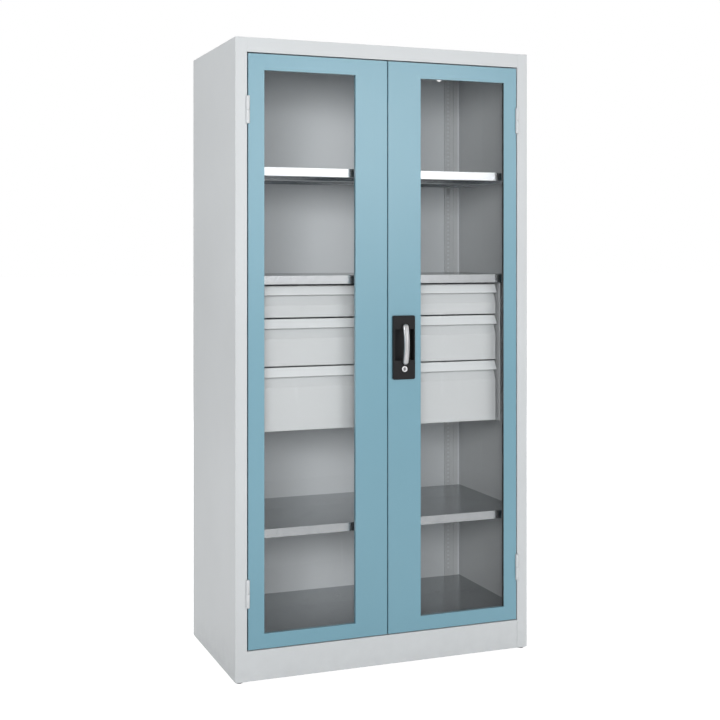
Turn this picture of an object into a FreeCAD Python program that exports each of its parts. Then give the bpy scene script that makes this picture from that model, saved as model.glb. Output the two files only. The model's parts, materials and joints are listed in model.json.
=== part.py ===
import FreeCAD
import Part
import math
import os

Vec = FreeCAD.Vector

# Heavy-duty cabinet with two glazed doors, three shelves and three drawers.
# Lengths are millimetres. While a piece is built, x = 0 is the middle of the width, y = 0 is the
# front face of the body, +y runs to the back and z = 0 is the surface the cabinet stands on.
# Each piece is moved along y at the end, so that the origin lies under the middle of the whole part.

# Body
body_width = 1000.0
body_depth = 500.0
body_height = 1950.0
body_sheet = 1.5
overrun = 2.0  # how far a cutting tool runs past the face it cuts

# Front frame
post_width = 36.5
post_depth = 28.0
post_lip = 14.0
top_rail_height = 44.5
top_rail_lip = 15.0
base_rail_height = 91.4
base_rail_setback = 1.0
base_rail_flange = 44.0
door_gap = 4.0

# Back of the body
back_setback = 14.5
rear_fold_width = 20.0
wall_hole_radius = 9.5
wall_hole_inset = 83.4
wall_hole_drop = 19.5

# Levelling feet
foot_reach = 5.0
foot_radius = 11.0
foot_inset = 16.0
foot_stud_radius = 4.0
foot_stud_length = 32.0
foot_chamfer = 1.0
foot_plate_sheet = 3.0
rear_foot_plate_length = 34.0
foot_nut_flats = 13.0
foot_nut_height = 6.5

# Rear support strips
strip_inset = 33.0
strip_face = 30.0
strip_proud = 5.0
strip_groove = 6.5
strip_flank = 17.0
strip_flank_proud = 3.5
slot_pitch = 15.0
slot_width = 8.0
slot_height = 7.0
slot_margin = 30.0

# Shelves and floor, with the height of each top face above the bottom of the body
floor_edge = 27.0
floor_lip = 13.5
upper_shelf_top = 1561.0
middle_shelf_top = 1226.6
lower_shelf_top = 449.4
shelf_front_clearance = 2.5
shelf_edge = 26.6
shelf_lip = 15.0
shelf_sheet = 1.5
shelf_side_clearance = 1.5
shelf_rear_clearance = 1.0
stiffener_width = 44.0
clip_width = 12.0
clip_sheet = 2.0
clip_drop = 25.0
clip_ledge = 20.0

# Doors
door_depth = 22.0
door_sheet = 1.5
door_lip = 12.0
left_outer_stile = 51.1
left_inner_stile = 107.2
right_outer_stile = 45.6
right_inner_stile = 112.7
window_top_rail = 48.8
window_bottom_rail = 44.8
seal_width = 8.0
seal_depth = 10.5
window_flange_gap = 1.0
pane_thickness = 3.0
retainer_sheet = 1.2
retainer_clearance = 0.5
retainer_leg = 12.0
retainer_cover = 1.0
retainer_stud_radius = 2.0
retainer_stud_length = 6.0
retainer_nut_flats = 7.0
retainer_nut_height = 3.2
retainer_side_studs = 6
retainer_end_studs = 3

# Lift-off hinges
hinge_height = 84.0
hinge_split = 0.5
hinge_radius = 5.8
hinge_pin_radius = 3.0
hinge_pin_setback = 1.5
hinge_fit = 0.05
hinge_notch_clearance = 0.7
hinge_axis_reach = 3.5
hinge_leaf_sheet = 1.6
hinge_leaf_depth = 18.0
hinge_end_offset = 171.0

# Handle
handle_width = 76.0
handle_height = 202.0
handle_thickness = 10.0
handle_wall = 2.5
handle_corner = 5.0
handle_edge_round = 3.0
handle_door_inset = 13.4
handle_bottom = 897.0
handle_low_pad = 60.5
handle_top_pad = 43.5
pocket_rim = 5.0
pocket_depth = 12.0
pocket_wall = 1.5
cutout_clearance = 0.5
bow_radius = 9.0
bow_rise = 8.5
bow_low_seat = 3.8
bow_top_seat = 8.2
bow_stud_radius = 3.0
handle_boss_radius = 7.0
handle_screw_radius = 2.5
handle_screw_head_radius = 4.5
handle_screw_head = 2.8
handle_screw_offset = 10.5

# Lock
lock_offset = 33.3
lock_rose_radius = 9.0
lock_rose = 3.0
lock_body_radius = 8.0
lock_hole_clearance = 0.4
plug_radius = 5.5
plug_fit = 0.05
plug_proud = 0.8
plug_tail = 6.0
keyway_width = 2.8
keyway_height = 7.6
keyway_depth = 12.0
cam_rim = 1.5
cam_thickness = 3.0
cam_gap = 0.4
cam_pin_orbit = 11.0
cam_pin_radius = 2.5
cam_pin_angle = 45.0
rod_width = 12.0
rod_thickness = 3.0
rod_offset = 7.0
rod_gap = 0.4
rod_head_rim = 2.9
rod_head_margin = 4.5
rod_slot_clearance = 0.6
rod_hole_clearance = 1.0
rod_end_setback = 0.5
guide_height = 16.0
guide_wall = 4.0
guide_clearance = 0.3
upper_guide_shares = (0.30, 0.78)
lower_guide_shares = (0.24, 0.76)
case_wall = 1.2
case_gap = 0.6
case_side_gap = 1.3
case_end_gap = 4.9

# Drawers, from the top one down
top_drawer_height = 98.0
middle_drawer_height = 145.5
bottom_drawer_height = 196.0
drawer_spacing = 5.3
drawer_top_gap = 6.0
drawer_setback = 60.0
drawer_sheet = 1.2
drawer_back_clearance = 15.0
front_sheet = 1.5
front_box_depth = 16.0
grip_height = 28.0
grip_reach = 10.0
grip_top_setback = 6.6
grip_undercut = 13.0
grip_underside_drop = 3.0
grip_slope_height = 33.0
tray_top_drop = 30.0
tray_bottom_gap = 3.0
drawer_stop_clearance = 1.5

# Drawer housing and runners
runner_space = 12.7
rail_height = 45.0
rail_sheet = 1.5
rail_clearance = 0.3
rail_edge_gap = 1.5
rail_lift = 36.0
rail_setback = 25.0
housing_sheet = 1.5
housing_setback = 52.0
housing_flange = 25.0
housing_foot_gap = 4.0
housing_strip_gap = 6.8
housing_flange_margin = 2.3
housing_clip_clearance = 25.0
housing_screw_radius = 2.0
housing_screw_head_radius = 4.0
housing_screw_head = 2.5
housing_screw_inset = 6.5
housing_screw_shares = (0.18, 0.82)

# Derived places
half_width = body_width / 2
base_z = foot_reach
roof_z = base_z + body_height
roof_under_z = roof_z - body_sheet
side_in_x = half_width - body_sheet
post_in_x = half_width - post_width
back_front_y = body_depth - back_setback - body_sheet
back_rear_y = back_front_y + body_sheet
rail_under_z = roof_z - top_rail_height
base_top_z = base_z + base_rail_height
floor_top_z = base_top_z + floor_edge
strip_front_y = back_front_y - strip_proud
strip_out_x = half_width - strip_inset
strip_mid_x = strip_out_x - strip_face / 2
shelf_front_y = post_depth + shelf_front_clearance
shelf_back_y = strip_front_y - shelf_rear_clearance
shelf_half_width = side_in_x - shelf_side_clearance
shelf_tops = {"upper": upper_shelf_top, "middle": middle_shelf_top, "lower": lower_shelf_top}
shelf_top_z = {name: base_z + top for name, top in shelf_tops.items()}
shelf_under_z = {name: top - shelf_edge for name, top in shelf_top_z.items()}
stiffener_mid_y = (shelf_front_y + shelf_back_y) / 2

door_bottom_z = base_top_z + door_gap
door_top_z = rail_under_z - door_gap
door_out_x = post_in_x - door_gap
door_in_x = door_gap / 2
window_bottom_z = door_bottom_z + window_bottom_rail
window_top_z = door_top_z - window_top_rail
seal_front_y = door_sheet
pane_front_y = seal_front_y + seal_depth
pane_back_y = pane_front_y + pane_thickness
window_flange_y = pane_front_y - window_flange_gap
hinge_axis_x = post_in_x - door_gap / 2
hinge_axis_y = -hinge_axis_reach
hinge_mids = (door_bottom_z + hinge_end_offset, door_top_z - hinge_end_offset)

handle_mid_x = door_in_x + handle_door_inset + handle_width / 2
handle_low_z = base_z + handle_bottom
handle_top_z = handle_low_z + handle_height
pocket_half = handle_width / 2 - pocket_rim
pocket_low_z = handle_low_z + handle_low_pad
pocket_top_z = handle_top_z - handle_top_pad
bow_low_z = pocket_low_z - bow_low_seat
bow_top_z = pocket_top_z + bow_top_seat
bow_end_reach = handle_thickness + bow_radius
handle_reach = bow_end_reach + bow_rise + bow_radius
lock_z = handle_low_z + lock_offset
rod_back_y = door_depth - case_wall - case_gap
rod_front_y = rod_back_y - rod_thickness
cam_back_y = rod_front_y - rod_gap
cam_front_y = cam_back_y - cam_thickness
lock_body_end = cam_front_y - cam_gap
cam_radius = cam_pin_orbit + cam_pin_radius + cam_rim
pin_rise = cam_pin_orbit * math.sin(math.radians(cam_pin_angle))
pin_side = cam_pin_orbit * math.cos(math.radians(cam_pin_angle))
rod_throw = 2 * pin_rise
slot_half = cam_pin_radius + rod_slot_clearance
rod_near = rod_offset - rod_width / 2
rod_head_far = cam_pin_orbit + slot_half + rod_head_rim
rod_head_half = slot_half + rod_head_margin
case_half_width = rod_head_far + case_side_gap + case_wall
case_half_height = pin_rise + rod_head_half + case_end_gap + case_wall

housing_in_x = strip_out_x - strip_face - housing_strip_gap - housing_sheet
tray_half = housing_in_x - runner_space
drawer_names = ("top", "middle", "bottom")
drawer_front_heights = (top_drawer_height, middle_drawer_height, bottom_drawer_height)
drawer_tops = []
level_z = shelf_under_z["middle"] - drawer_top_gap
for front_height in drawer_front_heights:
    drawer_tops.append(level_z)
    level_z -= front_height + drawer_spacing
drawers_low_z = drawer_tops[-1] - drawer_front_heights[-1]
housing_low_z = drawers_low_z - housing_foot_gap
housing_flange_top_z = shelf_under_z["middle"] - clip_drop - housing_clip_clearance
front_rear_y = drawer_setback + front_box_depth
tray_back_y = shelf_back_y - drawer_back_clearance
rail_start_y = drawer_setback + rail_setback
drawer_travel = drawer_setback - grip_reach - door_depth - drawer_stop_clearance

# The origin is under the middle of the part, from the bow of the handle to the rear folds.
origin_shift = Vec(0, (handle_reach - body_depth) / 2, 0)


def box(x0, x1, y0, y1, z0, z1):
    return Part.makeBox(x1 - x0, y1 - y0, z1 - z0, Vec(x0, y0, z0))


def rod_y(x, z, y0, y1, radius):
    return Part.makeCylinder(radius, y1 - y0, Vec(x, y0, z), Vec(0, 1, 0))


def rod_z(x, y, z0, z1, radius):
    return Part.makeCylinder(radius, z1 - z0, Vec(x, y, z0), Vec(0, 0, 1))


def prism(points, travel):
    return Part.Face(Part.makePolygon(points + points[:1])).extrude(travel)


def prism_x(outline, x0, x1):
    return prism([Vec(x0, y, z) for y, z in outline], Vec(x1 - x0, 0, 0))


def prism_y(outline, y0, y1):
    return prism([Vec(x, y0, z) for x, z in outline], Vec(0, y1 - y0, 0))


def prism_z(outline, z0, z1):
    return prism([Vec(x, y, z0) for x, y in outline], Vec(0, 0, z1 - z0))


def hexagon(flats):
    corner = flats / math.sqrt(3)
    turns = [math.radians(60 * step) for step in range(6)]
    return [(corner * math.cos(turn), corner * math.sin(turn)) for turn in turns]


def left_of(start, end):
    along = (end[0] - start[0], end[1] - start[1])
    length = math.hypot(*along)
    return (-along[1] / length, along[0] / length)


def folded(path, sheet):
    # Outline of a sheet that follows a path, with its thickness on the left of the path.
    inner = []
    for index, (u, v) in enumerate(path):
        sides = []
        if index > 0:
            sides.append(left_of(path[index - 1], path[index]))
        if index < len(path) - 1:
            sides.append(left_of(path[index], path[index + 1]))
        first, last = sides[0], sides[-1]
        reach = sheet / (1 + first[0] * last[0] + first[1] * last[1])
        inner.append((u + reach * (first[0] + last[0]), v + reach * (first[1] + last[1])))
    return path + inner[::-1]


def joined(shapes):
    return shapes[0].multiFuse(shapes[1:]).removeSplitter()


def mirrored(shape):
    return shape.mirror(Vec(0, 0, 0), Vec(1, 0, 0))


def ring(x0, x1, z0, z1, inner_grow, outer_grow, y0, y1):
    outer = box(x0 - outer_grow, x1 + outer_grow, y0, y1, z0 - outer_grow, z1 + outer_grow)
    inner = box(x0 - inner_grow, x1 + inner_grow, y0 - overrun, y1 + overrun,
                z0 - inner_grow, z1 + inner_grow)
    return outer.cut(inner)


def hinge_notches():
    radius = hinge_radius + hinge_notch_clearance
    half = hinge_height / 2 + hinge_notch_clearance
    return [rod_z(hinge_axis_x, hinge_axis_y, mid - half, mid + half, radius) for mid in hinge_mids]


# Body panels, made for the right side and mirrored for the left

def side_panel():
    path = [
        (half_width - rear_fold_width, back_rear_y),
        (half_width - rear_fold_width, body_depth),
        (half_width, body_depth),
        (half_width, 0),
        (post_in_x, 0),
        (post_in_x, post_depth),
        (post_in_x + post_lip, post_depth),
    ]
    # The path runs clockwise on this side, so it is turned round to keep the sheet inside.
    panel = prism_z(folded(path[::-1], body_sheet), base_z, roof_under_z)
    return panel.cut(hinge_notches())


def back_panel():
    panel = box(-side_in_x, side_in_x, back_front_y, back_rear_y, base_z, roof_under_z)
    hole_x = half_width - wall_hole_inset
    hole_z = roof_z - wall_hole_drop
    holes = [rod_y(x, hole_z, back_front_y - overrun, back_rear_y + overrun, wall_hole_radius)
             for x in (-hole_x, hole_x)]
    return panel.cut(holes)


def rod_hole(side, z0, z1):
    x = handle_mid_x + side * rod_offset
    reach = rod_width / 2 + rod_hole_clearance
    return box(x - reach, x + reach, rod_front_y - rod_hole_clearance, rod_back_y + rod_hole_clearance,
               z0 - overrun, z1 + overrun)


def roof_panel():
    path = [
        (body_depth, roof_z),
        (0, roof_z),
        (0, rail_under_z),
        (post_depth, rail_under_z),
        (post_depth, rail_under_z + top_rail_lip),
    ]
    middle = prism_x(folded(path, body_sheet), -post_in_x, post_in_x)
    ends = [box(x, x + post_width, 0, body_depth, roof_under_z, roof_z)
            for x in (-half_width, post_in_x)]
    return joined([middle] + ends).cut(rod_hole(-1, rail_under_z, rail_under_z + body_sheet))


def base_rail():
    path = [
        (base_rail_flange, base_top_z),
        (base_rail_setback, base_top_z),
        (base_rail_setback, base_z),
        (post_depth, base_z),
    ]
    rail = prism_x(folded(path, body_sheet), -post_in_x, post_in_x)
    return rail.cut(rod_hole(1, base_top_z - body_sheet, base_top_z))


def floor_panel():
    path = [
        (back_front_y, floor_top_z),
        (shelf_front_y, floor_top_z),
        (shelf_front_y, base_top_z),
        (shelf_front_y + floor_lip, base_top_z),
    ]
    return prism_x(folded(path, body_sheet), -side_in_x, side_in_x)


def foot_spots():
    x = half_width - foot_inset
    rear_y = back_front_y - rear_foot_plate_length / 2
    return [(side * x, y) for y in (foot_inset, rear_y) for side in (-1, 1)]


def foot_plates():
    front = box(post_in_x + body_sheet, side_in_x, body_sheet, post_depth - body_sheet,
                base_z, base_z + foot_plate_sheet)
    rear = box(post_in_x, side_in_x, back_front_y - rear_foot_plate_length, back_front_y,
               base_z, base_z + foot_plate_sheet)
    holes = [rod_z(x, y, base_z - overrun, base_z + foot_plate_sheet + overrun, foot_stud_radius)
             for x, y in foot_spots()]
    plates = [plate.cut(holes) for plate in (front, rear)]
    return plates + [mirrored(plate) for plate in plates]


def levelling_feet():
    feet = []
    for x, y in foot_spots():
        pad = Part.makeCone(foot_radius - foot_chamfer, foot_radius, foot_chamfer, Vec(x, y, 0))
        pad = pad.fuse(rod_z(x, y, foot_chamfer, foot_reach, foot_radius))
        stud = rod_z(x, y, foot_reach, foot_reach + foot_stud_length, foot_stud_radius)
        feet.append(joined([pad, stud]))
    return feet


def foot_nuts():
    low = base_z + foot_plate_sheet
    nuts = []
    for x, y in foot_spots():
        outline = [(x + dx, y + dy) for dx, dy in hexagon(foot_nut_flats)]
        bore = rod_z(x, y, low - overrun, low + foot_nut_height + overrun, foot_stud_radius)
        nuts.append(prism_z(outline, low, low + foot_nut_height).cut(bore))
    return nuts


# Inside fittings

def support_strip():
    inner_x = strip_out_x - strip_face
    groove_x = strip_out_x + strip_groove
    flank_y = back_front_y - strip_flank_proud
    path = [
        (inner_x, back_front_y),
        (inner_x, strip_front_y),
        (strip_out_x, strip_front_y),
        (strip_out_x, back_front_y - body_sheet),
        (groove_x, back_front_y - body_sheet),
        (groove_x, flank_y),
        (groove_x + strip_flank, flank_y),
        (groove_x + strip_flank, back_front_y),
    ]
    strip = prism_z(folded(path, body_sheet), floor_top_z, roof_under_z)
    slots = []
    count = int((roof_under_z - floor_top_z - 2 * slot_margin) / slot_pitch)
    for index in range(count + 1):
        z = floor_top_z + slot_margin + index * slot_pitch
        slots.append(box(strip_mid_x - slot_width / 2, strip_mid_x + slot_width / 2,
                         strip_front_y - overrun, strip_front_y + body_sheet + overrun,
                         z - slot_height / 2, z + slot_height / 2))
    return strip.cut(Part.makeCompound(slots)).cut(housing_screw_shanks())


def shelf(name):
    top, under = shelf_top_z[name], shelf_under_z[name]
    path = [
        (shelf_back_y - shelf_lip, under),
        (shelf_back_y, under),
        (shelf_back_y, top),
        (shelf_front_y, top),
        (shelf_front_y, under),
        (shelf_front_y + shelf_lip, under),
    ]
    tray = prism_x(folded(path, shelf_sheet), -shelf_half_width, shelf_half_width)
    inner = shelf_half_width - shelf_sheet
    ends = [box(x, x + shelf_sheet, shelf_front_y, shelf_back_y, under, top)
            for x in (-shelf_half_width, inner)]
    return joined([tray] + ends)


def shelf_stiffener(name):
    front, rear = stiffener_mid_y - stiffener_width / 2, stiffener_mid_y + stiffener_width / 2
    under, top = shelf_under_z[name], shelf_top_z[name] - shelf_sheet
    path = [(front, top), (front, under), (rear, under), (rear, top)]
    reach = shelf_half_width - shelf_sheet
    channel = prism_x(folded(path, shelf_sheet), -reach, reach)
    return channel.cut(housing_top_shanks()) if name == "middle" else channel


def shelf_clips():
    clips = []
    for under in shelf_under_z.values():
        front_x = post_in_x + post_lip / 2
        for x, seat_y, way in ((front_x, post_depth, 1), (strip_mid_x, strip_front_y, -1)):
            x0, x1 = x - clip_width / 2, x + clip_width / 2
            plate_y = sorted((seat_y, seat_y + way * clip_sheet))
            ledge_y = sorted((seat_y, seat_y + way * clip_ledge))
            clip = joined([box(x0, x1, *plate_y, under - clip_drop, under),
                           box(x0, x1, *ledge_y, under - clip_sheet, under)])
            clips += [clip, mirrored(clip)]
    return clips


# Drawer housing, its screws and the runners

def housing_top_shanks():
    low = shelf_under_z["middle"] - housing_sheet
    x = housing_in_x - housing_flange / 2
    high = shelf_under_z["middle"] + shelf_sheet
    return [rod_z(side * x, stiffener_mid_y, low, high, housing_screw_radius) for side in (-1, 1)]


def housing_rear_spots():
    x = strip_out_x - housing_screw_inset
    rise = housing_flange_top_z - housing_low_z
    return [(side * x, housing_low_z + share * rise)
            for share in housing_screw_shares for side in (-1, 1)]


def housing_screw_shanks():
    return [rod_y(x, z, strip_front_y - housing_sheet, strip_front_y + body_sheet, housing_screw_radius)
            for x, z in housing_rear_spots()]


def housing_screws():
    screws = []
    low = shelf_under_z["middle"] - housing_sheet
    for shank in housing_top_shanks():
        x = shank.CenterOfMass.x
        head = rod_z(x, stiffener_mid_y, low - housing_screw_head, low, housing_screw_head_radius)
        screws.append(joined([shank, head]))
    front = strip_front_y - housing_sheet
    for (x, z), shank in zip(housing_rear_spots(), housing_screw_shanks()):
        head = rod_y(x, z, front - housing_screw_head, front, housing_screw_head_radius)
        screws.append(joined([shank, head]))
    return screws


def drawer_housing():
    out_x = housing_in_x + housing_sheet
    under = shelf_under_z["middle"]
    plate = box(housing_in_x, out_x, housing_setback, strip_front_y, housing_low_z, under)
    top_flange = box(housing_in_x - housing_flange, out_x, housing_setback, shelf_back_y,
                     under - housing_sheet, under)
    rear_flange = box(housing_in_x, strip_out_x - housing_flange_margin, strip_front_y - housing_sheet,
                      strip_front_y, housing_low_z, housing_flange_top_z)
    shell = joined([plate, top_flange, rear_flange])
    return shell.cut(housing_top_shanks() + housing_screw_shanks())


def rail_pair(outline):
    rail = prism_y(folded(outline, rail_sheet), rail_start_y, tray_back_y)
    return [mirrored(rail), rail]


def rail_middle_z(index):
    return drawer_tops[index] - drawer_front_heights[index] + rail_lift


def outer_rails(index):
    z, half = rail_middle_z(index), rail_height / 2
    start = tray_half + 2 * rail_edge_gap
    return rail_pair([(start, z - half), (housing_in_x, z - half),
                      (housing_in_x, z + half), (start, z + half)])


def middle_rails(index):
    z, step = rail_middle_z(index), rail_sheet + rail_clearance
    half = rail_height / 2 - step
    start, web = tray_half + rail_edge_gap, housing_in_x - step
    return rail_pair([(start, z - half), (web, z - half), (web, z + half), (start, z + half)])


def inner_rails(index):
    z, step = rail_middle_z(index), rail_sheet + rail_clearance
    half = rail_height / 2 - 2 * step
    end = housing_in_x - 2 * step
    return rail_pair([(end, z + half), (tray_half, z + half), (tray_half, z - half), (end, z - half)])


# Drawers

def drawer_front(index):
    top = drawer_tops[index]
    low = top - drawer_front_heights[index]
    grip_low = top - grip_height
    path = [
        (front_rear_y, top),
        (drawer_setback + grip_top_setback, top),
        (drawer_setback - grip_reach, grip_low),
        (drawer_setback + grip_undercut, grip_low - grip_underside_drop),
        (drawer_setback, grip_low - grip_slope_height),
        (drawer_setback, low),
        (front_rear_y, low),
    ]
    return prism_x(folded(path, front_sheet), -tray_half, tray_half)


def drawer_tray(index):
    top = drawer_tops[index]
    low = top - drawer_front_heights[index] + tray_bottom_gap
    side_top = top - tray_top_drop
    outer = box(-tray_half, tray_half, front_rear_y, tray_back_y, low, side_top)
    inside = box(drawer_sheet - tray_half, tray_half - drawer_sheet, front_rear_y + drawer_sheet,
                 tray_back_y - drawer_sheet, low + drawer_sheet, side_top + overrun)
    front = box(-tray_half, tray_half, front_rear_y, front_rear_y + drawer_sheet,
                low - tray_bottom_gap, top)
    return joined([outer.cut(inside), front])


# Doors

def door_span(side):
    return (-door_out_x, -door_in_x) if side == "left" else (door_in_x, door_out_x)


def window_span(side):
    x0, x1 = door_span(side)
    if side == "left":
        return x0 + left_outer_stile, x1 - left_inner_stile
    return x0 + right_inner_stile, x1 - right_outer_stile


def flange_span(side):
    # The sheet is turned back round the window except along the hinge side.
    x0, x1 = window_span(side)
    if side == "left":
        x1 += door_sheet
    else:
        x0 -= door_sheet
    return x0, x1, window_bottom_z - door_sheet, window_top_z + door_sheet


def door_leaf(side):
    x0, x1 = door_span(side)
    sheet, lip = door_sheet, door_lip
    shell = box(x0, x1, 0, door_depth, door_bottom_z, door_top_z)
    hollow = box(x0 + sheet, x1 - sheet, sheet, door_depth - sheet,
                 door_bottom_z + sheet, door_top_z - sheet)
    rear = box(x0 + lip, x1 - lip, door_depth / 2, door_depth + overrun,
               door_bottom_z + lip, door_top_z - lip)
    flange_x0, flange_x1, flange_low, flange_high = flange_span(side)
    flange = box(flange_x0, flange_x1, 0, window_flange_y, flange_low, flange_high)
    window_x0, window_x1 = window_span(side)
    window = box(window_x0, window_x1, -overrun, pane_front_y, window_bottom_z, window_top_z)
    notches = hinge_notches()
    if side == "left":
        notches = [mirrored(notch) for notch in notches]
    return joined([shell.cut([hollow, rear]), flange]).cut([window] + notches)


def right_door_leaf():
    grow = pocket_wall + cutout_clearance
    reach = pocket_half + grow
    dish = box(handle_mid_x - reach, handle_mid_x + reach, -overrun, door_sheet + overrun,
               pocket_low_z - grow, pocket_top_z + grow)
    lock = rod_y(handle_mid_x, lock_z, -overrun, door_sheet + overrun,
                 lock_body_radius + lock_hole_clearance)
    screws = [rod_y(handle_mid_x, z, -overrun, door_sheet + overrun, handle_screw_radius)
              for z in handle_screw_levels()]
    rods = [rod_hole(-1, door_top_z - door_sheet, door_top_z),
            rod_hole(1, door_bottom_z, door_bottom_z + door_sheet)]
    return door_leaf("right").cut([dish, lock] + screws + rods)


def window_seal(side):
    x0, x1 = window_span(side)
    outer = box(x0 - seal_width, x1 + seal_width, seal_front_y, pane_front_y,
                window_bottom_z - seal_width, window_top_z + seal_width)
    inner_x0, inner_x1, low, high = flange_span(side)
    return outer.cut(box(inner_x0, inner_x1, seal_front_y - overrun, pane_front_y + overrun, low, high))


def window_pane(side):
    x0, x1 = window_span(side)
    return box(x0 - seal_width, x1 + seal_width, pane_front_y, pane_back_y,
               window_bottom_z - seal_width, window_top_z + seal_width)


def retainer_studs_at(side):
    x0, x1 = window_span(side)
    grow = seal_width + retainer_clearance + (retainer_sheet + retainer_leg) / 2
    left, right = x0 - grow, x1 + grow
    low, high = window_bottom_z - grow, window_top_z + grow
    spots = []
    for step in range(retainer_side_studs):
        z = low + (step + 0.5) * (high - low) / retainer_side_studs
        spots += [(left, z), (right, z)]
    for step in range(retainer_end_studs):
        x = left + (step + 0.5) * (right - left) / retainer_end_studs
        spots += [(x, low), (x, high)]
    return spots


def retainer_shanks(side):
    return [rod_y(x, z, door_sheet, door_sheet + retainer_stud_length, retainer_stud_radius)
            for x, z in retainer_studs_at(side)]


def pane_retainer(side):
    x0, x1 = window_span(side)
    span = (x0, x1, window_bottom_z, window_top_z)
    web = seal_width + retainer_clearance
    legs = [
        ring(*span, web, web + retainer_leg, door_sheet, door_sheet + retainer_sheet),
        ring(*span, web, web + retainer_sheet, door_sheet, pane_back_y + retainer_sheet),
        ring(*span, retainer_cover, web + retainer_sheet, pane_back_y, pane_back_y + retainer_sheet),
    ]
    return joined(legs).cut(retainer_shanks(side))


def retainer_nuts(side):
    low = door_sheet + retainer_sheet
    nuts = []
    for (x, z), shank in zip(retainer_studs_at(side), retainer_shanks(side)):
        outline = [(x + dx, z + dz) for dx, dz in hexagon(retainer_nut_flats)]
        nuts.append(joined([prism_y(outline, low, low + retainer_nut_height), shank]))
    return nuts


# Hinges: the lower knuckle belongs to the frame, the upper one to the door

def knuckle(low, high, bore, leaf_x0, leaf_x1):
    barrel = rod_z(hinge_axis_x, hinge_axis_y, low, high, hinge_radius)
    leaf = box(leaf_x0, leaf_x1, hinge_axis_y, hinge_leaf_depth, low, high)
    hole = rod_z(hinge_axis_x, hinge_axis_y, low - overrun, high + overrun, bore)
    return joined([barrel, leaf]).cut(hole)


def frame_knuckles():
    leaf = (post_in_x - hinge_leaf_sheet, post_in_x)
    return [knuckle(mid - hinge_height / 2, mid - hinge_split / 2, hinge_pin_radius, *leaf)
            for mid in hinge_mids]


def door_knuckles():
    leaf = (door_out_x, door_out_x + hinge_leaf_sheet)
    bore = hinge_pin_radius + hinge_fit
    return [knuckle(mid + hinge_split / 2, mid + hinge_height / 2, bore, *leaf) for mid in hinge_mids]


def hinge_pins():
    pins = [rod_z(hinge_axis_x, hinge_axis_y, mid - hinge_height / 2 + hinge_pin_setback,
                  mid + hinge_height / 2 - hinge_pin_setback, hinge_pin_radius) for mid in hinge_mids]
    return [mirrored(pin) for pin in pins] + pins


# Handle and lock on the right door

def handle_screw_levels():
    return (handle_low_z + handle_screw_offset, handle_top_z - handle_screw_offset)


def bow_end_levels():
    return (bow_low_z, bow_top_z)


def handle_plate():
    half = handle_width / 2
    plate = box(handle_mid_x - half, handle_mid_x + half, -handle_thickness, 0,
                handle_low_z, handle_top_z)
    upright = [edge for edge in plate.Edges if abs(edge.tangentAt(edge.FirstParameter).y) > 0.5]
    plate = plate.makeFillet(handle_corner, upright)
    rim = [edge for edge in plate.Edges if edge.BoundBox.YMax < -handle_thickness / 2]
    plate = plate.makeFillet(handle_edge_round, rim)
    hollows = []
    for low, high in ((handle_low_z, pocket_low_z), (pocket_top_z, handle_top_z)):
        hollows.append(box(handle_mid_x - half + handle_wall, handle_mid_x + half - handle_wall,
                           handle_wall - handle_thickness, overrun, low + handle_wall, high - handle_wall))
    bosses = [rod_y(handle_mid_x, z, handle_wall / 2 - handle_thickness, 0, handle_boss_radius)
              for z in handle_screw_levels() + bow_end_levels()]
    bosses.append(rod_y(handle_mid_x, lock_z, handle_wall / 2 - handle_thickness, 0,
                        lock_body_radius + handle_wall))
    reach = pocket_half
    dish = box(handle_mid_x - reach - pocket_wall, handle_mid_x + reach + pocket_wall,
               -handle_wall, pocket_depth + pocket_wall,
               pocket_low_z - pocket_wall, pocket_top_z + pocket_wall)
    pocket = box(handle_mid_x - reach, handle_mid_x + reach, -handle_thickness - overrun, pocket_depth,
                 pocket_low_z, pocket_top_z)
    bores = [rod_y(handle_mid_x, lock_z, -handle_thickness - overrun, overrun, lock_body_radius)]
    bores += [rod_y(handle_mid_x, z, handle_wall - handle_thickness, overrun, handle_screw_radius)
              for z in handle_screw_levels()]
    bores += [rod_y(handle_mid_x, z, -handle_thickness - overrun, -handle_wall, bow_stud_radius)
              for z in bow_end_levels()]
    return joined([plate.cut(hollows), dish] + bosses).cut([pocket] + bores)


def handle_bow():
    low, high = bow_end_levels()
    half_chord = (high - low) / 2
    arc_radius = (half_chord ** 2 + bow_rise ** 2) / (2 * bow_rise)
    centre = Vec(handle_mid_x, arc_radius - bow_end_reach - bow_rise, low + half_chord)
    spread = math.degrees(math.asin(half_chord / arc_radius))
    start = Vec(handle_mid_x, -bow_end_reach, low)
    across = (start - centre).normalize()
    section = Part.makeCircle(bow_radius, start, across.cross(Vec(1, 0, 0)))
    bar = Part.Face(Part.Wire(section)).revolve(centre, Vec(-1, 0, 0), 2 * spread)
    ends = [Part.makeSphere(bow_radius, Vec(handle_mid_x, -bow_end_reach, z)) for z in (low, high)]
    studs = [rod_y(handle_mid_x, z, -bow_end_reach, -handle_wall, bow_stud_radius) for z in (low, high)]
    return joined([bar] + ends + studs)


def handle_screws():
    screws = []
    for z in handle_screw_levels():
        shank = rod_y(handle_mid_x, z, handle_wall - handle_thickness, door_sheet, handle_screw_radius)
        head = rod_y(handle_mid_x, z, door_sheet, door_sheet + handle_screw_head, handle_screw_head_radius)
        screws.append(joined([shank, head]))
    return screws


def lock_cylinder():
    rose = rod_y(handle_mid_x, lock_z, -handle_thickness - lock_rose, -handle_thickness, lock_rose_radius)
    body = rod_y(handle_mid_x, lock_z, -handle_thickness, lock_body_end, lock_body_radius)
    bore = rod_y(handle_mid_x, lock_z, -handle_thickness - lock_rose - overrun, lock_body_end + overrun,
                 plug_radius + plug_fit)
    return joined([rose, body]).cut(bore)


def tail_prism(y0, y1):
    half = plug_tail / 2
    return box(handle_mid_x - half, handle_mid_x + half, y0, y1, lock_z - half, lock_z + half)


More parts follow.
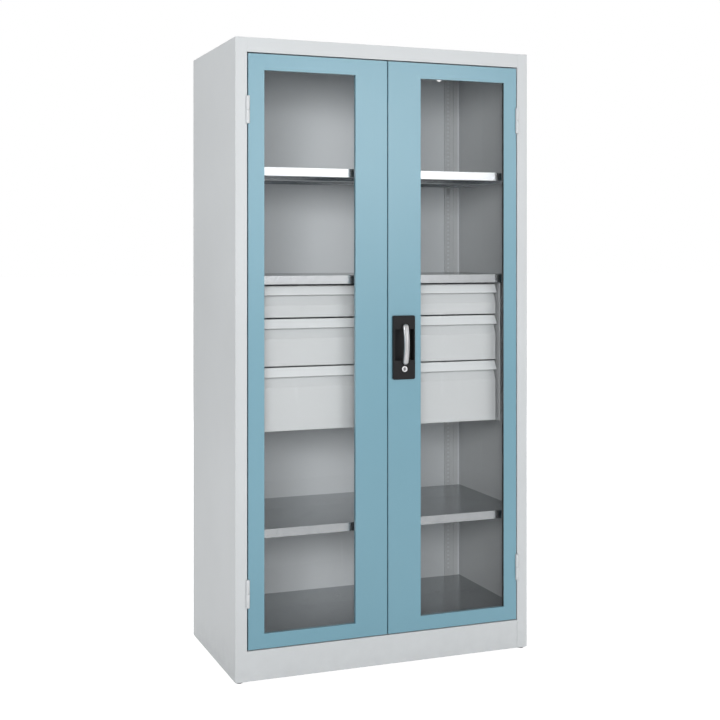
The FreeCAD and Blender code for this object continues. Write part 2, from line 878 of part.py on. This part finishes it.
def lock_plug():
    face = -handle_thickness - lock_rose - plug_proud
    plug = rod_y(handle_mid_x, lock_z, face, lock_body_end, plug_radius)
    keyway = box(handle_mid_x - keyway_width / 2, handle_mid_x + keyway_width / 2,
                 face - overrun, face + keyway_depth, lock_z - keyway_height / 2, lock_z + keyway_height / 2)
    return joined([plug, tail_prism(lock_body_end, cam_back_y)]).cut(keyway)


def lock_cam():
    disc = rod_y(handle_mid_x, lock_z, cam_front_y, cam_back_y, cam_radius)
    disc = disc.cut(tail_prism(cam_front_y, cam_back_y))
    pins = [rod_y(handle_mid_x + way * pin_side, lock_z + way * pin_rise, cam_back_y, rod_back_y,
                  cam_pin_radius) for way in (-1, 1)]
    return joined([disc] + pins)


def lock_rod(way):
    # The upper rod (way = -1) hangs on the left pin and the lower rod on the right pin of the cam.
    x = handle_mid_x + way * rod_offset
    pin_z = lock_z + way * pin_rise
    head_x = sorted((handle_mid_x + way * rod_near, handle_mid_x + way * rod_head_far))
    slot_x = sorted((handle_mid_x + way * (pin_side - slot_half),
                     handle_mid_x + way * (cam_pin_orbit + slot_half)))
    end_z = door_top_z - rod_end_setback if way < 0 else door_bottom_z + rod_end_setback
    bar_z = sorted((pin_z + way * rod_head_half, end_z))
    head_z = (pin_z - rod_head_half, pin_z + rod_head_half)
    bar = box(x - rod_width / 2, x + rod_width / 2, rod_front_y, rod_back_y, *bar_z)
    head = box(*head_x, rod_front_y, rod_back_y, *head_z)
    slot = box(*slot_x, rod_front_y - overrun, rod_back_y + overrun,
               pin_z - slot_half, pin_z + slot_half)
    return joined([bar, head]).cut(slot)


def rod_guides():
    guides = []
    for way, shares in ((-1, upper_guide_shares), (1, lower_guide_shares)):
        x = handle_mid_x + way * rod_offset
        end_z = door_top_z if way < 0 else door_bottom_z
        reach = rod_width / 2 + guide_clearance
        for share in shares:
            low = lock_z + share * (end_z - lock_z)
            high = low + guide_height
            block = box(x - reach - guide_wall, x + reach + guide_wall, door_sheet, door_depth,
                        low, high)
            slot = box(x - reach, x + reach, rod_front_y - guide_clearance,
                       rod_back_y + guide_clearance, low - overrun, high + overrun)
            guides.append(block.cut(slot))
    return guides


def lock_case():
    half, tall = case_half_width, case_half_height
    low, high = lock_z - tall, lock_z + tall
    shell = box(handle_mid_x - half, handle_mid_x + half, door_sheet, door_depth, low, high)
    inside = box(handle_mid_x - half + case_wall, handle_mid_x + half - case_wall,
                 door_sheet - overrun, door_depth - case_wall, low + case_wall, high - case_wall)
    slots = [rod_hole(-1, high - case_wall, high), rod_hole(1, low, low + case_wall)]
    # Room for the head of the lower handle screw, which lies under the edge of the case.
    screw_room = rod_y(handle_mid_x, handle_screw_levels()[0], door_sheet - overrun,
                       door_sheet + handle_screw_head + lock_hole_clearance,
                       handle_screw_head_radius + lock_hole_clearance)
    return shell.cut([inside, screw_room] + slots)


def save(name, shapes):
    # One file for each node; a node of several like pieces holds them as separate solids.
    solids = shapes if isinstance(shapes, list) else [shapes]
    moved = [solid.translated(origin_shift) for solid in solids]
    whole = moved[0] if len(moved) == 1 else Part.makeCompound(moved)
    whole.exportStep(os.path.join("parts", name + ".step"))


def main():
    os.makedirs("parts", exist_ok=True)

    save("right_side_panel", side_panel())
    save("left_side_panel", mirrored(side_panel()))
    save("back_panel", back_panel())
    save("roof_panel", roof_panel())
    save("base_rail", base_rail())
    save("floor_panel", floor_panel())
    save("foot_plates", foot_plates())
    save("levelling_feet", levelling_feet())
    save("foot_nuts", foot_nuts())

    save("right_support_strip", support_strip())
    save("left_support_strip", mirrored(support_strip()))
    for name in shelf_tops:
        save(name + "_shelf", shelf(name))
    save("shelf_stiffeners", [shelf_stiffener(name) for name in shelf_tops])
    save("shelf_clips", shelf_clips())

    save("right_drawer_housing", drawer_housing())
    save("left_drawer_housing", mirrored(drawer_housing()))
    save("housing_screws", housing_screws())
    for index, name in enumerate(drawer_names):
        save(name + "_drawer_outer_rails", outer_rails(index))
        save(name + "_drawer_middle_rails", middle_rails(index))
        save(name + "_drawer_inner_rails", inner_rails(index))
        save(name + "_drawer_front", drawer_front(index))
        save(name + "_drawer_tray", drawer_tray(index))

    save("left_door_leaf", door_leaf("left"))
    save("right_door_leaf", right_door_leaf())
    for side in ("left", "right"):
        save(side + "_window_seal", window_seal(side))
        save(side + "_window_pane", window_pane(side))
        save(side + "_pane_retainer", pane_retainer(side))
        save(side + "_retainer_nuts", retainer_nuts(side))
    save("right_frame_knuckles", frame_knuckles())
    save("left_frame_knuckles", [mirrored(shape) for shape in frame_knuckles()])
    save("right_door_knuckles", door_knuckles())
    save("left_door_knuckles", [mirrored(shape) for shape in door_knuckles()])
    save("hinge_pins", hinge_pins())

    save("handle_plate", handle_plate())
    save("handle_bow", handle_bow())
    save("handle_screws", handle_screws())
    save("lock_cylinder", lock_cylinder())
    save("lock_plug", lock_plug())
    save("lock_cam", lock_cam())
    save("upper_lock_rod", lock_rod(-1))
    save("lower_lock_rod", lock_rod(1))
    save("rod_guides", rod_guides())
    save("lock_case", lock_case())

    print(f"y shift of the origin {origin_shift.y:.3f}, handle reach {handle_reach:.3f}")
    print(f"hinge axis x {hinge_axis_x:.3f} y {hinge_axis_y + origin_shift.y:.3f}")
    print(f"lock axis x {handle_mid_x:.3f} z {lock_z:.3f}, rod throw {rod_throw:.4f}")
    print(f"drawer travel {drawer_travel:.3f}")


main()
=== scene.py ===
import json
import math

import bpy
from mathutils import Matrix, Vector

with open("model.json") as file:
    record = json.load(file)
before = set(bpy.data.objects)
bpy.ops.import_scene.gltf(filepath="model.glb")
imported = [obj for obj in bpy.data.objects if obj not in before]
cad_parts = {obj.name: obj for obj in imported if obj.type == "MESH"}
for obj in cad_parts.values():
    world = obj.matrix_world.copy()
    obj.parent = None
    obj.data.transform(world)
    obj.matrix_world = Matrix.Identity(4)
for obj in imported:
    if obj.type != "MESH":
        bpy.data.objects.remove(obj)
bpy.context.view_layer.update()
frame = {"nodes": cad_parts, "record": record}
nodes = frame["nodes"]
print("stage: frame loaded with", len(nodes), "nodes")

fullRange = (0.0, 1.0)
midNoise = (0.3, 0.7)  # most values of a noise lie between these


# Shader helpers

def newGroup(name, inputs, outputs):
    tree = bpy.data.node_groups.new(name, "ShaderNodeTree")
    for label, kind, value in inputs:
        socket = tree.interface.new_socket(name=label, in_out="INPUT", socket_type=kind)
        if value is not None:
            socket.default_value = value
    for label, kind in outputs:
        tree.interface.new_socket(name=label, in_out="OUTPUT", socket_type=kind)
    return tree, tree.nodes.new("NodeGroupInput"), tree.nodes.new("NodeGroupOutput")


def addStretch(tree, vector, factors):
    stretch = tree.nodes.new("ShaderNodeVectorMath")
    stretch.operation = "MULTIPLY"
    stretch.inputs[1].default_value = factors
    tree.links.new(vector, stretch.inputs[0])
    return stretch.outputs["Vector"]


def addNoise(tree, vector, grain):
    # A grain has either one scale or a stretch along the three axes
    if "stretch" in grain:
        vector = addStretch(tree, vector, grain["stretch"])
    noise = tree.nodes.new("ShaderNodeTexNoise")
    noise.inputs["Scale"].default_value = grain.get("scale", 1.0)
    noise.inputs["Detail"].default_value = grain["detail"]
    noise.inputs["Roughness"].default_value = grain.get("roughness", 0.5)
    tree.links.new(vector, noise.inputs["Vector"])
    return noise.outputs["Fac"]


def addCells(tree, vector, scale):
    cells = tree.nodes.new("ShaderNodeTexVoronoi")
    cells.inputs["Scale"].default_value = scale
    tree.links.new(vector, cells.inputs["Vector"])
    return cells.outputs["Color"]


def addRange(tree, value, source, target, smooth=False):
    node = tree.nodes.new("ShaderNodeMapRange")
    node.interpolation_type = "SMOOTHSTEP" if smooth else "LINEAR"
    for label, number in zip(("From Min", "From Max", "To Min", "To Max"), (*source, *target)):
        node.inputs[label].default_value = number
    tree.links.new(value, node.inputs["Value"])
    return node.outputs["Result"]


def addMath(tree, operation, first, second):
    node = tree.nodes.new("ShaderNodeMath")
    node.operation = operation
    for index, value in enumerate((first, second)):
        if isinstance(value, (int, float)):
            node.inputs[index].default_value = value
        else:
            tree.links.new(value, node.inputs[index])
    return node.outputs["Value"]


def addShare(tree, value, mask, amount):
    # Adds an amount where the mask is 1, or takes it off if it is below zero
    return addMath(tree, "ADD", value, addMath(tree, "MULTIPLY", mask, amount))


def addTint(tree, color, factor):
    # Multiplies a colour by a grey value
    node = tree.nodes.new("ShaderNodeVectorMath")
    node.operation = "SCALE"
    tree.links.new(color, node.inputs[0])
    tree.links.new(factor, node.inputs["Scale"])
    return node.outputs["Vector"]


def heightOf(tree, vector):
    split = tree.nodes.new("ShaderNodeSeparateXYZ")
    tree.links.new(vector, split.inputs["Vector"])
    return split.outputs["Z"]


# What all the skins below have in common

skinInputs = [
    ("Vector", "NodeSocketVector", None),
    ("Facing", "NodeSocketVector", None),
    ("Base Color", "NodeSocketColor", (0.5, 0.5, 0.5, 1.0)),
    ("Base Roughness", "NodeSocketFloat", 0.4),
    ("Wear", "NodeSocketFloat", 1.0),
    # painted light and shade: the factor by which faces that look up are painted paler or darker
    ("Painted Top Light", "NodeSocketFloat", 1.0),
]
skinOutputs = [
    ("Color", "NodeSocketColor"),
    ("Roughness", "NodeSocketFloat"),
    ("Height", "NodeSocketFloat"),
]
topFacing = (0.42, 0.49)  # upward part of the normal where a face turns into a top face


def addPaintedTopLight(tree, inside, tone):
    # Painted light and shade: faces that look up get a different colour by a given factor. Above 1 paints them
    # paler, as if lit from above; below 1 paints them darker, as if shaded
    upward = addRange(tree, heightOf(tree, inside.outputs["Facing"]), topFacing, fullRange, True)
    change = addMath(tree, "SUBTRACT", inside.outputs["Painted Top Light"], 1.0)
    factor = addMath(tree, "ADD", addMath(tree, "MULTIPLY", upward, change), 1.0)
    return addMath(tree, "MULTIPLY", tone, factor)


def addSpread(tree, vector, grain):
    # A noise spread between two values
    return addRange(tree, addNoise(tree, vector, grain), grain.get("from", midNoise), grain["spread"])


def addPatches(tree, inside, grain):
    # Soft patches from 0 to 1, fainter on a piece with little wear
    noise = addNoise(tree, inside.outputs["Vector"], grain)
    return addMath(tree, "MULTIPLY", addRange(tree, noise, grain["from"], fullRange, True), inside.outputs["Wear"])


def closeSkin(tree, inside, outside, tone, roughness, height):
    color = addTint(tree, inside.outputs["Base Color"], tone)
    for label, value in (("Color", color), ("Roughness", roughness), ("Height", height)):
        tree.links.new(value, outside.inputs[label])
    return tree


# Powder coat: soft tone drift, fine speckle, rubbed marks, dust at the foot and orange peel
paintGrain = {
    "drift": {"scale": 2.2, "detail": 3.0, "spread": (0.975, 1.02)},
    "speckle": {"scale": 900.0, "detail": 1.0, "spread": (0.985, 1.015)},
    "rubbed": {
        "stretch": (34.0, 34.0, 5.0), "detail": 4.0, "roughness": 0.6, "from": (0.64, 0.74),
        "lighten": 0.035, "roughen": 0.10,
    },
    "dust": {
        "scale": 26.0, "detail": 4.0, "from": (0.35, 0.7), "spread": fullRange, "reach": (0.0, 0.16),
        "lighten": -0.06, "roughen": 0.15,
    },
    "sheen": {"scale": 7.0, "detail": 3.0, "spread": (-0.03, 0.03)},
    "peel": {"scale": 420.0, "detail": 1.5},
}


def buildPaintSkin():
    tree, inside, outside = newGroup("paintSkin", skinInputs, skinOutputs)
    vector = inside.outputs["Vector"]
    rubbedGrain, dustGrain = paintGrain["rubbed"], paintGrain["dust"]
    rubbed = addPatches(tree, inside, rubbedGrain)
    low = addRange(tree, heightOf(tree, vector), dustGrain["reach"], (1.0, 0.0), True)
    dust = addMath(tree, "MULTIPLY", low, addSpread(tree, vector, dustGrain))
    dust = addMath(tree, "MULTIPLY", dust, inside.outputs["Wear"])
    tone = addMath(tree, "MULTIPLY", addSpread(tree, vector, paintGrain["drift"]),
                   addSpread(tree, vector, paintGrain["speckle"]))
    tone = addShare(tree, tone, rubbed, rubbedGrain["lighten"])
    tone = addShare(tree, tone, dust, dustGrain["lighten"])
    tone = addPaintedTopLight(tree, inside, tone)
    rough = addShare(tree, inside.outputs["Base Roughness"], rubbed, rubbedGrain["roughen"])
    rough = addShare(tree, rough, dust, dustGrain["roughen"])
    rough = addMath(tree, "ADD", rough, addSpread(tree, vector, paintGrain["sheen"]))
    peel = addNoise(tree, vector, paintGrain["peel"])
    return closeSkin(tree, inside, outside, tone, rough, peel)


# Zinc plate: faint spangle, rolling lines along the sheet and handling marks
plateGrain = {
    "spangle": {"scale": 70.0, "spread": (0.965, 1.03)},
    "rolled": {
        "stretch": (6.0, 700.0, 700.0), "detail": 2.0, "lighten": (0.98, 1.02), "roughen": (-0.02, 0.02),
    },
    "smudge": {
        "scale": 11.0, "detail": 5.0, "roughness": 0.6, "from": (0.48, 0.72),
        "lighten": -0.05, "roughen": 0.12,
    },
}


def buildPlateSkin():
    tree, inside, outside = newGroup("plateSkin", skinInputs, skinOutputs)
    vector = inside.outputs["Vector"]
    spangleGrain, rolledGrain, smudgeGrain = plateGrain["spangle"], plateGrain["rolled"], plateGrain["smudge"]
    spangle = addRange(tree, addCells(tree, vector, spangleGrain["scale"]), fullRange, spangleGrain["spread"])
    rolled = addNoise(tree, vector, rolledGrain)
    smudge = addPatches(tree, inside, smudgeGrain)
    tone = addMath(tree, "MULTIPLY", spangle, addRange(tree, rolled, midNoise, rolledGrain["lighten"]))
    tone = addShare(tree, tone, smudge, smudgeGrain["lighten"])
    tone = addPaintedTopLight(tree, inside, tone)
    rough = addShare(tree, inside.outputs["Base Roughness"], smudge, smudgeGrain["roughen"])
    rough = addMath(tree, "ADD", rough, addRange(tree, rolled, midNoise, rolledGrain["roughen"]))
    return closeSkin(tree, inside, outside, tone, rough, rolled)


# Moulded plastic and rubber: spark-eroded grain with slightly polished patches
mouldGrain = {
    "spark": {"scale": 1500.0, "detail": 2.0, "roughness": 0.7, "from": (0.25, 0.75), "lighten": (0.86, 1.14)},
    "polish": {"scale": 22.0, "detail": 3.0, "from": (0.45, 0.7), "lighten": 0.08, "roughen": -0.08},
}


def buildMouldSkin():
    tree, inside, outside = newGroup("mouldSkin", skinInputs, skinOutputs)
    sparkGrain, polishedGrain = mouldGrain["spark"], mouldGrain["polish"]
    spark = addNoise(tree, inside.outputs["Vector"], sparkGrain)
    polish = addPatches(tree, inside, polishedGrain)
    tone = addRange(tree, spark, sparkGrain["from"], sparkGrain["lighten"])
    tone = addShare(tree, tone, polish, polishedGrain["lighten"])
    rough = addShare(tree, inside.outputs["Base Roughness"], polish, polishedGrain["roughen"])
    return closeSkin(tree, inside, outside, tone, rough, spark)


# Polished metal: hairlines along Z and finger marks
polishGrain = {
    "hair": {"stretch": (2600.0, 2600.0, 60.0), "detail": 2.0, "lighten": (0.96, 1.03)},
    "marks": {
        "scale": 48.0, "detail": 4.0, "roughness": 0.6, "from": (0.5, 0.72),
        "lighten": -0.06, "roughen": 0.10,
    },
}


def buildPolishSkin():
    tree, inside, outside = newGroup("polishSkin", skinInputs, skinOutputs)
    hairGrain, marksGrain = polishGrain["hair"], polishGrain["marks"]
    hair = addNoise(tree, inside.outputs["Vector"], hairGrain)
    marks = addPatches(tree, inside, marksGrain)
    tone = addRange(tree, hair, midNoise, hairGrain["lighten"])
    tone = addShare(tree, tone, marks, marksGrain["lighten"])
    rough = addShare(tree, inside.outputs["Base Roughness"], marks, marksGrain["roughen"])
    return closeSkin(tree, inside, outside, tone, rough, hair)


# Clear sheet: a trace of dust where it has been wiped less well, and a faint ripple
paneGrain = {
    "wiped": {
        "stretch": (9.0, 9.0, 3.0), "detail": 4.0, "roughness": 0.6, "from": (0.45, 0.75),
        "lighten": (1.0, 0.97), "roughen": 0.05, "cover": (0.035, 0.055),
    },
    "ripple": {"scale": 3.0, "detail": 1.0},
}


def buildPaneSkin():
    tree, inside, outside = newGroup("paneSkin", skinInputs, skinOutputs + [("Alpha", "NodeSocketFloat")])
    wipedGrain = paneGrain["wiped"]
    wiped = addPatches(tree, inside, wipedGrain)
    ripple = addNoise(tree, inside.outputs["Vector"], paneGrain["ripple"])
    tone = addRange(tree, wiped, fullRange, wipedGrain["lighten"])
    rough = addShare(tree, inside.outputs["Base Roughness"], wiped, wipedGrain["roughen"])
    tree.links.new(addRange(tree, wiped, fullRange, wipedGrain["cover"]), outside.inputs["Alpha"])
    return closeSkin(tree, inside, outside, tone, rough, ripple)


skins = {
    "paint": buildPaintSkin(),
    "plate": buildPlateSkin(),
    "mould": buildMouldSkin(),
    "polish": buildPolishSkin(),
    "pane": buildPaneSkin(),
}
print("stage: shader groups built", sorted(skins))


def makeMaterial(name, look):
    material = bpy.data.materials.new(name)
    material.use_nodes = True
    tree = material.node_tree
    shader = tree.nodes["Principled BSDF"]
    skin = tree.nodes.new("ShaderNodeGroup")
    skin.node_tree = skins[look["skin"]]
    place = tree.nodes.new("ShaderNodeTexCoord")
    tree.links.new(place.outputs["Object"], skin.inputs["Vector"])
    tree.links.new(place.outputs["Normal"], skin.inputs["Facing"])
    skin.inputs["Base Color"].default_value = (*look["color"], 1.0)
    skin.inputs["Base Roughness"].default_value = look["roughness"]
    skin.inputs["Wear"].default_value = look["wear"]
    # painted light and shade: how much paler or darker the top faces are painted
    skin.inputs["Painted Top Light"].default_value = look.get("paintedTopLight", 1.0)
    bump = tree.nodes.new("ShaderNodeBump")
    bump.inputs["Strength"].default_value = look["bump"]
    bump.inputs["Distance"].default_value = look["relief"]
    tree.links.new(skin.outputs["Height"], bump.inputs["Height"])
    tree.links.new(skin.outputs["Color"], shader.inputs["Base Color"])
    tree.links.new(skin.outputs["Roughness"], shader.inputs["Roughness"])
    tree.links.new(bump.outputs["Normal"], shader.inputs["Normal"])
    for label, value in look.get("shader", {}).items():
        shader.inputs[label].default_value = value
    if "Alpha" in skin.outputs:
        tree.links.new(skin.outputs["Alpha"], shader.inputs["Alpha"])
    return material


def setFinish(piece, material):
    piece.data.materials.clear()
    piece.data.materials.append(material)


# The split corners of the frame meshes are joined first, or their edges would stay sharp
edgeLook = {"join": 0.00002, "segments": 2, "sharpest": 50}


def roundEdges(piece, width):
    weld = piece.modifiers.new("weld", "WELD")
    weld.merge_threshold = edgeLook["join"]
    edge = piece.modifiers.new("edge", "BEVEL")
    edge.width = width
    edge.segments = edgeLook["segments"]
    edge.limit_method = "ANGLE"
    edge.angle_limit = math.radians(edgeLook["sharpest"])
    edge.harden_normals = True


def dress(slotName, materialName, look):
    # One finish for every frame node of a slot, with rounded edges where the look has a bevel
    material = makeMaterial(materialName, look)
    for entry in frame["record"]["subparts"]:
        if entry["material_slot"] != slotName:
            continue
        piece = nodes[entry["node"]]
        setFinish(piece, material)
        if "bevel" in look:
            roundEdges(piece, look["bevel"])


bodyLook = {
    "skin": "paint", "color": (0.576, 0.597, 0.609), "roughness": 0.42, "wear": 0.8,
    "bump": 0.10, "relief": 0.0004, "bevel": 0.0006,
}
dress("body_grey", "bodyPaint", bodyLook)

# Painted light: the back sheet gets a paler copy of the body paint, so the inside between the shelves reads as
# more brightly lit
litBackLook = dict(bodyLook, color=(0.692, 0.725, 0.748))
setFinish(nodes["back_panel"], makeMaterial("backPaintLit", litBackLook))

doorLook = {
    "skin": "paint", "color": (0.147, 0.326, 0.410), "roughness": 0.36, "wear": 0.8,
    "bump": 0.10, "relief": 0.0004, "bevel": 0.0006,
    "shader": {"Coat Weight": 1.0, "Coat Roughness": 0.32, "Coat IOR": 1.8},
}
dress("door_blue", "doorPaint", doorLook)

# Painted highlight: the grip lips of the drawers look up and are painted paler, as if they caught more light
drawerLook = {
    "skin": "paint", "color": (0.530, 0.550, 0.558), "roughness": 0.40, "wear": 0.8,
    "bump": 0.10, "relief": 0.0004, "bevel": 0.0005, "paintedTopLight": 1.25,
}
dress("drawer_grey", "drawerPaint", drawerLook)

# Painted shade: the shelf tops are painted darker than their folded fronts, in place of the dimmer reflection they
# show
shelfLook = {
    "skin": "plate", "color": (0.642, 0.665, 0.684), "roughness": 0.22, "wear": 0.4,
    "bump": 0.05, "relief": 0.0002, "bevel": 0.0005, "paintedTopLight": 0.59, "shader": {"Metallic": 1.0},
}
dress("zinc_sheet", "zincSheet", shelfLook)

runnerLook = {
    "skin": "plate", "color": (0.58, 0.59, 0.60), "roughness": 0.30, "wear": 1.0,
    "bump": 0.05, "relief": 0.0002, "bevel": 0.0003, "shader": {"Metallic": 1.0},
}
dress("runner_zinc", "runnerZinc", runnerLook)

steelLook = {
    "skin": "plate", "color": (0.52, 0.53, 0.54), "roughness": 0.32, "wear": 1.0,
    "bump": 0.05, "relief": 0.0002, "bevel": 0.0003, "shader": {"Metallic": 1.0},
}
dress("mechanism_steel", "mechanismSteel", steelLook)

sealLook = {
    "skin": "mould", "color": (0.045, 0.045, 0.047), "roughness": 0.62, "wear": 0.6,
    "bump": 0.10, "relief": 0.0003,
}
dress("seal_rubber", "sealRubber", sealLook)

paneLook = {
    "skin": "pane", "color": (0.95, 0.97, 0.975), "roughness": 0.02, "wear": 1.0,
    "bump": 0.02, "relief": 0.0005, "shader": {"Transmission Weight": 1.0, "IOR": 1.49},
}
dress("clear_pane", "clearPane", paneLook)

handleLook = {
    "skin": "mould", "color": (0.011, 0.011, 0.012), "roughness": 0.46, "wear": 1.0,
    "bump": 0.12, "relief": 0.0003, "bevel": 0.0004, "shader": {"Specular IOR Level": 0.35},
}
dress("handle_black", "handlePlastic", handleLook)

guideLook = {
    "skin": "mould", "color": (0.035, 0.035, 0.037), "roughness": 0.50, "wear": 0.6,
    "bump": 0.10, "relief": 0.0003, "bevel": 0.0004,
}
dress("guide_plastic", "guidePlastic", guideLook)

bowLook = {
    "skin": "polish", "color": (0.82, 0.82, 0.83), "roughness": 0.33, "wear": 0.15,
    "bump": 0.03, "relief": 0.0001, "shader": {"Metallic": 0.88},
}
dress("bow_metal", "bowMetal", bowLook)

lockLook = {
    "skin": "polish", "color": (0.86, 0.86, 0.87), "roughness": 0.42, "wear": 0.3,
    "bump": 0.03, "relief": 0.0001, "bevel": 0.0004, "shader": {"Metallic": 0.3},
}
dress("lock_chrome", "lockChrome", lockLook)

# Painted shade: the key plug is painted darker than the ring round it, in place of the shade in its keyway
shadedPlugLook = dict(lockLook, color=(0.40, 0.40, 0.41))
setFinish(nodes["lock_plug"], makeMaterial("plugMetalShaded", shadedPlugLook))
print("stage: finishes on", len(bpy.data.materials), "materials")


# Pale floor, lifted to the white of the backdrop where the camera sees it directly
floorLook = {
    "skin": "paint", "color": (0.56, 0.56, 0.56), "roughness": 0.8, "wear": 0.0,
    "bump": 0.01, "relief": 0.0002, "half": 60.0, "lift": 0.88,
    "shader": {"Specular IOR Level": 0.0, "Emission Color": (1.0, 1.0, 1.0, 1.0)},
}
half = floorLook["half"]
corners = [(-half, -half, 0), (half, -half, 0), (half, half, 0), (-half, half, 0)]
floorMesh = bpy.data.meshes.new("floor")
floorMesh.from_pydata(corners, [], [(0, 1, 2, 3)])
floor = bpy.data.objects.new("floor", floorMesh)
bpy.context.scene.collection.objects.link(floor)
floorPaint = makeMaterial("floorPaint", floorLook)
floorTree = floorPaint.node_tree
floorRay = floorTree.nodes.new("ShaderNodeLightPath")
floorLift = addMath(floorTree, "MULTIPLY", floorRay.outputs["Is Camera Ray"], floorLook["lift"])
floorTree.links.new(floorLift, floorTree.nodes["Principled BSDF"].inputs["Emission Strength"])
floor.data.materials.append(floorPaint)


# Studio light. The strong fills aren't mirrored, so that the plated shelf fronts don't burn out
softboxes = {
    "frontBox": {
        "size": (7.0, 3.0), "power": 53.0, "mirrored": True,
        "place": (0.0, -6.0, 2.25), "aim": (0.0, 0.0, 2.1),
    },
    "rightBox": {
        "size": (2.2, 1.5), "power": 14.0, "mirrored": True,
        "place": (2.1, -5.0, 2.3), "aim": (0.0, -0.2, 1.6),
    },
    "spillBox": {
        "size": (2.2, 1.6), "power": 42.0, "mirrored": False,
        "place": (2.0, -4.9, 2.2), "aim": (0.0, -0.2, 1.2),
    },
    "fillBox": {
        "size": (1.8, 1.6), "power": 76.0, "mirrored": False,
        "place": (-1.5, -5.4, 2.0), "aim": (0.0, -0.2, 1.2),
    },
    "keyBox": {
        "size": (2.0, 1.6), "power": 88.0, "mirrored": False,
        "place": (-2.8, -4.8, 2.0), "aim": (0.0, -0.2, 1.2),
    },
    "leftBox": {
        "size": (3.0, 3.0), "power": 122.0, "mirrored": True,
        "place": (-5.0, 0.3, 2.8), "aim": (-0.5, 0.0, 1.1),
    },
    "rearBox": {
        "size": (4.0, 3.0), "power": 150.0, "mirrored": True,
        "place": (2.4, 5.0, 3.0), "aim": (0.0, 0.2, 1.0),
    },
    "sideBox": {
        "size": (3.0, 3.0), "power": 84.0, "mirrored": True,
        "place": (5.0, 0.6, 2.8), "aim": (0.5, 0.0, 1.1),
    },
    "topBox": {
        "size": (3.0, 2.0), "power": 52.0, "mirrored": True,
        "place": (0.4, 1.3, 4.6), "aim": (0.0, 0.1, 1.9),
    },
}


def addSoftbox(name, box):
    light = bpy.data.lights.new(name, "AREA")
    light.shape = "RECTANGLE"
    light.size, light.size_y = box["size"]
    light.energy = box["power"]
    lamp = bpy.data.objects.new(name, light)
    bpy.context.scene.collection.objects.link(lamp)
    lamp.location = box["place"]
    aim = Vector(box["aim"]) - lamp.location
    lamp.rotation_euler = aim.to_track_quat("-Z", "Y").to_euler()
    lamp.visible_camera = False
    lamp.visible_glossy = box["mirrored"]


for boxName, softbox in softboxes.items():
    addSoftbox(boxName, softbox)

# A white backdrop for the camera, a dimmer room for everything it lights
studioLook = {"backdrop": 1.0, "room": 0.25}
world = bpy.data.worlds.new("studio")
bpy.context.scene.world = world
world.use_nodes = True
worldTree = world.node_tree
sky = worldTree.nodes["Background"]
sky.inputs["Color"].default_value = (1.0, 1.0, 1.0, 1.0)
worldRay = worldTree.nodes.new("ShaderNodeLightPath")
skyRange = (studioLook["room"], studioLook["backdrop"])
skyStrength = addRange(worldTree, worldRay.outputs["Is Camera Ray"], fullRange, skyRange)
worldTree.links.new(skyStrength, sky.inputs["Strength"])
print("stage: floor, light and world set")


# Camera at the photo's angle: level, with the frame shifted as the photo's crop is
cameraPlace = {
    "location": (-1.5446, -3.7449, 1.3038), "tilt": 90, "turn": -20.095,
    "lens": 60.73, "sensor": 36.0, "shift": (0.0688, -0.1495),
}
cameraData = bpy.data.cameras.new("camera")
cameraData.lens = cameraPlace["lens"]
cameraData.sensor_width = cameraPlace["sensor"]
cameraData.shift_x, cameraData.shift_y = cameraPlace["shift"]
camera = bpy.data.objects.new("camera", cameraData)
camera.location = cameraPlace["location"]
camera.rotation_euler = (math.radians(cameraPlace["tilt"]), 0, math.radians(cameraPlace["turn"]))
bpy.context.scene.collection.objects.link(camera)
bpy.context.scene.camera = camera
bpy.context.scene.view_settings.view_transform = "Standard"
print("stage: camera set")
